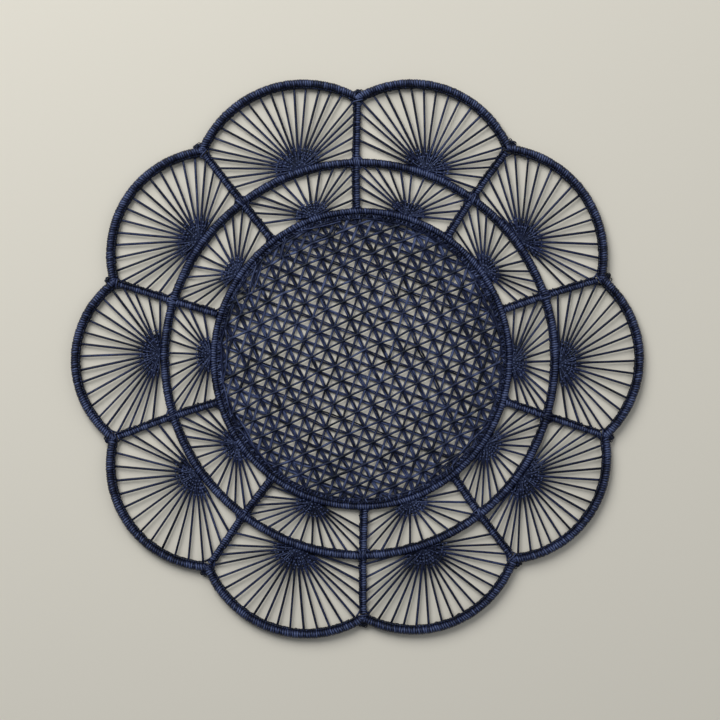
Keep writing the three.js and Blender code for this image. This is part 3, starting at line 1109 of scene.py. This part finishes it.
def palm_material(name, across, roughness, bump):
    """Dyed palm fibre. across is how fine the streaks are, for each metre."""
    dye = bpy.context.scene.placemat_dye
    material = bpy.data.materials.new(name)
    material.use_nodes = True
    tree = material.node_tree
    fibre = add_node(tree, "ShaderNodeAttribute", {}, attribute_name="fibre")
    look = add_node(tree, "ShaderNodeAttribute", {}, attribute_name="strand")
    parts = add_node(tree, "ShaderNodeSeparateXYZ", {0: look.outputs["Vector"]})
    streaks = group_node(tree, "Fibre streaks", fibre_streaks, Fibre=fibre.outputs["Vector"],
                         Along=300.0, Across=across)
    colours = {label: tuple(getattr(dye, label.lower())) + (1.0,)
               for label in ("Dark", "Mid", "Light", "Bare")}
    tone = group_node(tree, "Dye tone", dye_tone_and_painted_light, Tone=parts.outputs[0],
                      Streak=streaks["Streak"], Crest=parts.outputs[1], Clouds=0.9,
                      Wear=parts.outputs[2], **colours)
    rough = add_node(tree, "ShaderNodeMapRange", {
        "From Min": 0.25, "From Max": 0.75, "To Min": roughness - 0.08,
        "To Max": roughness + 0.12, "Value": streaks["Streak"]})
    relief = add_node(tree, "ShaderNodeBump", {
        "Strength": bump, "Distance": 0.15 * MM, "Height": streaks["Streak"]})
    shader = tree.nodes["Principled BSDF"].inputs
    feed(tree, shader["Base Color"], tone["Color"])
    feed(tree, shader["Roughness"], rough.outputs[0])
    feed(tree, shader["Normal"], relief.outputs[0])
    shader["Specular IOR Level"].default_value = 0.3
    shader["Specular Tint"].default_value = (0.65, 0.78, 1.0, 1.0)
    return material


# Each slot's material: its name, how fine its streaks are, its roughness and its relief
FINISHES = {
    "wrapping": ("Navy palm wrapping", 1500.0, 0.4, 0.5),
    "thread": ("Navy palm thread", 1700.0, 0.44, 0.45),
    "net": ("Navy palm net strip", 1600.0, 0.42, 0.55),
}


def dress(piece, slot, *nodes):
    """The piece gets its slot's material, stands for these nodes of the frame and stays with
    them."""
    material = bpy.data.materials.get(FINISHES[slot][0]) or palm_material(*FINISHES[slot])
    piece.data.materials.append(material)
    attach(piece, "root")
    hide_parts(*nodes)
    return piece


# Settings


def linear(red, green, blue):
    """A colour from a screen's 0 to 255, as Blender mixes it."""
    shares = [value / 255 for value in (red, green, blue)]
    return tuple(c / 12.92 if c <= 0.04045 else ((c + 0.055) / 1.055) ** 2.4 for c in shares)


class WrappingSettings(bpy.types.PropertyGroup):
    pitch: FloatProperty(
        name="Turn", description="Width of one turn of the wrapping", default=1.62 * MM,
        min=0.8 * MM, max=4 * MM, unit="LENGTH", precision=5)
    depth: FloatProperty(
        name="Groove", description="Depth of the groove between two turns", default=0.65 * MM,
        min=0.0, max=1 * MM, unit="LENGTH", precision=5)
    uneven: FloatProperty(
        name="Unevenness", description="How much one turn stands above the next",
        default=0.08 * MM, min=0.0, max=0.5 * MM, unit="LENGTH", precision=5)


class ThreadSettings(bpy.types.PropertyGroup):
    width: FloatProperty(
        name="Width", description="Width of a fan's thread", default=1.55 * MM, min=0.5 * MM,
        max=3 * MM, unit="LENGTH", precision=5)
    thickness: FloatProperty(
        name="Thickness", description="Thickness of a fan's thread", default=0.95 * MM,
        min=0.2 * MM, max=2 * MM, unit="LENGTH", precision=5)


class NetSettings(bpy.types.PropertyGroup):
    pitch: FloatProperty(
        name="Mesh", description="From one crossing to the next along the top strands",
        default=11.3 * MM, min=5 * MM, max=30 * MM, unit="LENGTH", precision=5)
    cross_pitch: FloatProperty(
        name="Cross mesh", description="From one crossing to the next across the top strands",
        default=11.7 * MM, min=5 * MM, max=30 * MM, unit="LENGTH", precision=5)
    turn: FloatProperty(
        name="Turn", description="Direction of the top strands", default=math.radians(25),
        subtype="ANGLE")
    cross_turn: FloatProperty(
        name="Cross turn", description="Direction of the strands that cross them",
        default=math.radians(-64.5), subtype="ANGLE")
    squeeze: FloatProperty(
        name="Squeeze", description="How much smaller the meshes are at the net's edge",
        default=0.055, min=0.0, max=0.2, subtype="FACTOR")
    stray: FloatProperty(
        name="Stray", description="How far a crossing strays from its place", default=0.4 * MM,
        min=0.0, max=2 * MM, unit="LENGTH", precision=5)
    width: FloatProperty(
        name="Strip", description="Width of a strip of the net", default=1.42 * MM,
        min=0.5 * MM, max=4 * MM, unit="LENGTH", precision=5)
    thickness: FloatProperty(
        name="Thickness", description="Thickness of a strip of the net", default=0.7 * MM,
        min=0.2 * MM, max=2 * MM, unit="LENGTH", precision=5)


class DyeSettings(bpy.types.PropertyGroup):
    # In the grooves this colour is painted shade
    dark: FloatVectorProperty(
        name="Dark", description="Dye in the grooves and on the darkest strips",
        default=linear(5, 6, 18), subtype="COLOR", min=0.0, max=1.0)
    mid: FloatVectorProperty(
        name="Middle", description="Dye on most of the fibre", default=linear(27, 34, 67),
        subtype="COLOR", min=0.0, max=1.0)
    # On raised fibre this colour is painted highlight
    light: FloatVectorProperty(
        name="Light", description="Dye on raised and worn fibre", default=linear(78, 90, 128),
        subtype="COLOR", min=0.0, max=1.0)
    # Besides fibre worn thin, this colour is painted sheen on the lightest parts
    bare: FloatVectorProperty(
        name="Bare", description="Fibre that shows where the dye has worn thin",
        default=linear(66, 74, 102), subtype="COLOR", min=0.0, max=1.0)


class StageSettings(bpy.types.PropertyGroup):
    floor: FloatVectorProperty(
        name="Floor", description="Colour of the plain floor", default=linear(221, 218, 208),
        subtype="COLOR", min=0.0, max=1.0)
    view_width: FloatProperty(
        name="View", description="Width of what the camera sees at the mat",
        default=477.5 * MM, min=0.1, max=3.0, unit="LENGTH")
    distance: FloatProperty(
        name="Distance", description="Height of the camera above the mat", default=1.6,
        min=0.5, max=10.0, unit="LENGTH")
    key: FloatProperty(
        name="Key light", description="Power of the large soft light", default=39.0, min=0.0,
        max=500.0, unit="POWER")
    fill: FloatProperty(
        name="Fill light", description="Power of the weak light from the other side",
        default=8.5, min=0.0, max=500.0, unit="POWER")
    air: FloatProperty(
        name="Room light", description="Strength of the light from all sides", default=0.19,
        min=0.0, max=5.0)


# Operators


class PLACEMAT_OT_stage(bpy.types.Operator):
    """Lay the plain floor and set the lights and the camera"""

    bl_idname = "placemat.stage"
    bl_label = "Stage"

    def execute(self, context):
        settings = context.scene.placemat_stage
        lay_floor(settings)
        hang_lights(settings)
        aim_camera(settings)
        return {"FINISHED"}


# The floor: half its width, and its level, just under the mat
FLOOR_HALF = 2.5
FLOOR_LEVEL = -0.1 * MM
# The camera's place over the mat, which sets the mat in the view as in the photograph
CAMERA_PLACE = (1.655 * MM, -0.584 * MM)


def lay_floor(settings):
    corners = [(FLOOR_HALF * x, FLOOR_HALF * y, FLOOR_LEVEL)
               for x, y in ((-1, -1), (1, -1), (1, 1), (-1, 1))]
    mesh = bpy.data.meshes.new("floor")
    mesh.from_pydata(corners, [], [(0, 1, 2, 3)])
    floor = bpy.data.objects.new("floor", mesh)
    bpy.context.scene.collection.objects.link(floor)
    material = bpy.data.materials.new("Plain pale floor")
    material.use_nodes = True
    shader = material.node_tree.nodes["Principled BSDF"]
    shader.inputs["Base Color"].default_value = tuple(settings.floor) + (1.0,)
    shader.inputs["Roughness"].default_value = 0.9
    shader.inputs["Specular IOR Level"].default_value = 0.2
    mesh.materials.append(material)


LAMP_COLOUR = (1.0, 0.985, 0.95)
AIR_COLOUR = (0.92, 0.95, 1.0, 1.0)


def hang_light(name, place, size, power):
    """A round soft light that shines on the middle of the mat."""
    data = bpy.data.lights.new(name, "AREA")
    data.shape = "DISK"
    data.size = size
    data.energy = power
    data.color = LAMP_COLOUR
    light = bpy.data.objects.new(name, data)
    light.location = place
    light.rotation_mode = "QUATERNION"
    light.rotation_quaternion = (-light.location).to_track_quat("-Z", "Y")
    bpy.context.scene.collection.objects.link(light)


def hang_lights(settings):
    hang_light("soft key", (-0.78, 1.28, 1.36), 1.5, settings.key)
    hang_light("soft fill", (1.6, 0.5, 1.5), 2.0, settings.fill)
    world = bpy.data.worlds.new("studio air")
    world.use_nodes = True
    air = world.node_tree.nodes["Background"]
    air.inputs["Color"].default_value = AIR_COLOUR
    air.inputs["Strength"].default_value = settings.air
    bpy.context.scene.world = world


def aim_camera(settings):
    scene = bpy.context.scene
    data = bpy.data.cameras.new("camera")
    data.lens = data.sensor_width * settings.distance / settings.view_width
    camera = bpy.data.objects.new("camera", data)
    camera.location = (*CAMERA_PLACE, settings.distance + RIM_TUBE / 2)
    camera.rotation_euler = (0.0, 0.0, 0.0)
    scene.collection.objects.link(camera)
    scene.camera = camera
    scene.view_settings.view_transform = "Standard"


class PLACEMAT_OT_rim(bpy.types.Operator):
    """Wind the scalloped rim and sew its row of stitches"""

    bl_idname = "placemat.rim"
    bl_label = "Rim"

    def execute(self, context):
        dress(make_rim(context.scene.placemat_wrapping), "wrapping", "rim")
        return {"FINISHED"}


class PLACEMAT_OT_rings(bpy.types.Operator):
    """Wind the middle ring and the inner ring"""

    bl_idname = "placemat.rings"
    bl_label = "Rings"

    def execute(self, context):
        wrapping = context.scene.placemat_wrapping
        dress(make_middle_ring(wrapping), "wrapping", "middle_ring")
        dress(make_inner_ring(wrapping), "wrapping", "inner_ring")
        return {"FINISHED"}


class PLACEMAT_OT_spokes(bpy.types.Operator):
    """Wind the twenty spokes and round off their corners"""

    bl_idname = "placemat.spokes"
    bl_label = "Spokes"

    def execute(self, context):
        wrapping = context.scene.placemat_wrapping
        for k in range(len(PETALS)):
            dress(make_outer_spoke(k, wrapping), "wrapping", numbered("outer_spoke", k))
            dress(make_inner_spoke(k, wrapping), "wrapping", numbered("inner_spoke", k))
        return {"FINISHED"}


class PLACEMAT_OT_knots(bpy.types.Operator):
    """Tie the ten knots in the notches of the rim"""

    bl_idname = "placemat.knots"
    bl_label = "Knots"

    def execute(self, context):
        for k in range(len(PETALS)):
            dress(make_knot(k), "wrapping", numbered("knot", k))
        return {"FINISHED"}


class PLACEMAT_OT_fans(bpy.types.Operator):
    """Weave the twenty fans of threads on their hubs"""

    bl_idname = "placemat.fans"
    bl_label = "Fans"

    def execute(self, context):
        threads = context.scene.placemat_thread
        for k in range(len(PETALS)):
            dress(make_outer_fan(k, threads), "thread", numbered("outer_fan", k))
            dress(make_inner_fan(k, threads), "thread", numbered("inner_fan", k))
        return {"FINISHED"}


class PLACEMAT_OT_net(bpy.types.Operator):
    """Stretch the net inside the inner ring and stitch its edge"""

    bl_idname = "placemat.net"
    bl_label = "Net"

    def execute(self, context):
        net = dress(make_net(context.scene.placemat_net), "net", "centre_net")
        edge = dress(make_net_edge(), "net", "centre_net")
        return {"FINISHED"}


STEPS = [
    PLACEMAT_OT_stage, PLACEMAT_OT_rim, PLACEMAT_OT_rings, PLACEMAT_OT_spokes, PLACEMAT_OT_knots,
    PLACEMAT_OT_fans, PLACEMAT_OT_net,
]

SETTINGS = {
    "placemat_wrapping": WrappingSettings,
    "placemat_thread": ThreadSettings,
    "placemat_net": NetSettings,
    "placemat_dye": DyeSettings,
    "placemat_stage": StageSettings,
}


class PLACEMAT_PT_panel(bpy.types.Panel):
    """The steps of the placemat, in the order of the work"""

    bl_idname = "PLACEMAT_PT_panel"
    bl_label = "Woven palm placemat"
    bl_space_type = "VIEW_3D"
    bl_region_type = "UI"
    bl_category = "Placemat"

    def draw(self, context):
        layout = self.layout
        for step in STEPS:
            layout.operator(step.bl_idname)
        for name in SETTINGS:
            group = getattr(context.scene, name)
            box = layout.box()
            for label in group.bl_rna.properties.keys():
                if label not in ("rna_type", "name"):
                    box.prop(group, label)


def register():
    for kind in (*SETTINGS.values(), *STEPS, PLACEMAT_PT_panel):
        bpy.utils.register_class(kind)
    for name, kind in SETTINGS.items():
        setattr(bpy.types.Scene, name, PointerProperty(type=kind))


def unregister():
    for name in SETTINGS:
        delattr(bpy.types.Scene, name)
    for kind in reversed((*SETTINGS.values(), *STEPS, PLACEMAT_PT_panel)):
        bpy.utils.unregister_class(kind)


def main():
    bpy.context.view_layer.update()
    register()
    bpy.ops.placemat.stage()
    bpy.ops.placemat.rim()
    bpy.ops.placemat.rings()
    bpy.ops.placemat.spokes()
    bpy.ops.placemat.knots()
    bpy.ops.placemat.fans()
    bpy.ops.placemat.net()


if __name__ == "__main__":
    main()
